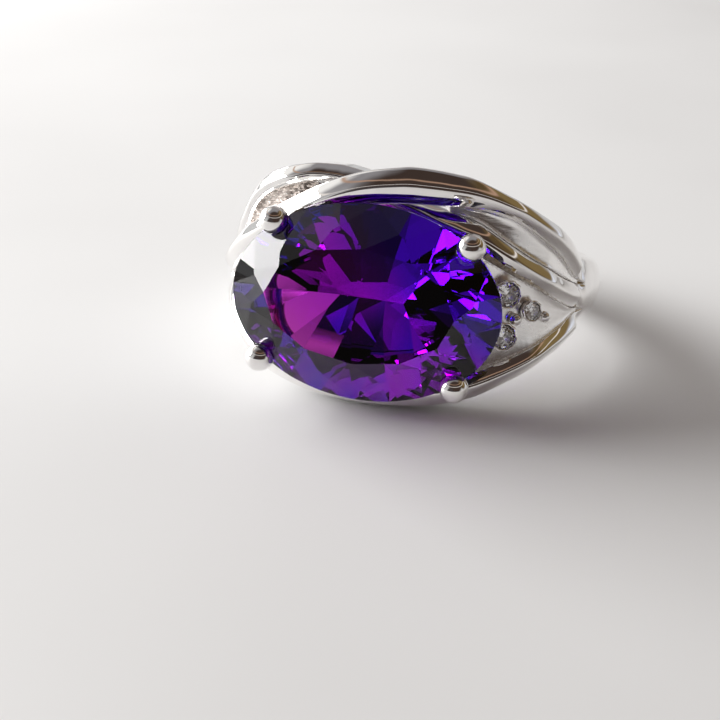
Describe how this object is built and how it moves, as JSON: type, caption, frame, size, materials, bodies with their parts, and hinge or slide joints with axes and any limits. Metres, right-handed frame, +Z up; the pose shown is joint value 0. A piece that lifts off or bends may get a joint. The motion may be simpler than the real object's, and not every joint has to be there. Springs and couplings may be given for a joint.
{
  "type": "bypass cocktail ring",
  "caption": "Bypass cocktail ring lying on its side: crossing strands, oval violet stone in claws, trefoils of small clear stones on each shoulder.",
  "frame": {"origin": "middle of the underside of the object's box as it lies on its side, at the height of the surface it rests on", "axes": "-Y the way the centre stone faces (it also tips up about 13 degrees), +Z up, X across the finger from shoulder to shoulder"},
  "size_m": [0.0208, 0.0248, 0.0126],
  "materials": {
    "polished_silver": "mirror-polished white metal",
    "sunk_silver": "polished by hand in a recess, slightly wavy",
    "cast_silver": "rough as-cast skin",
    "violet_quartz": "polished facets",
    "clear_stone": "polished facets"
  },
  "bodies": {
    "root": {"shank": "polished_silver", "crossing_strand": "polished_silver", "loop_strand": "polished_silver", "lower_strand": "polished_silver", "left_shoulder_plate": "sunk_silver", "right_shoulder_plate": "sunk_silver", "loop_window_plate": "cast_silver", "teardrop_window_plate": "sunk_silver", "base_rail": "polished_silver", "upper_left_claw": "polished_silver", "upper_right_claw": "polished_silver", "lower_left_claw": "polished_silver", "lower_right_claw": "polished_silver", "centre_stone": "violet_quartz", "left_collet_upper": "polished_silver", "left_side_stone_upper": "clear_stone", "left_collet_lower": "polished_silver", "left_side_stone_lower": "clear_stone", "left_collet_outer": "polished_silver", "left_side_stone_outer": "clear_stone", "left_centre_bead": "polished_silver", "left_tip_bead": "polished_silver", "right_collet_upper": "polished_silver", "right_side_stone_upper": "clear_stone", "right_collet_lower": "polished_silver", "right_side_stone_lower": "clear_stone", "right_collet_outer": "polished_silver", "right_side_stone_outer": "clear_stone", "right_centre_bead": "polished_silver", "right_tip_bead": "polished_silver"}
  },
  "joints": []
}
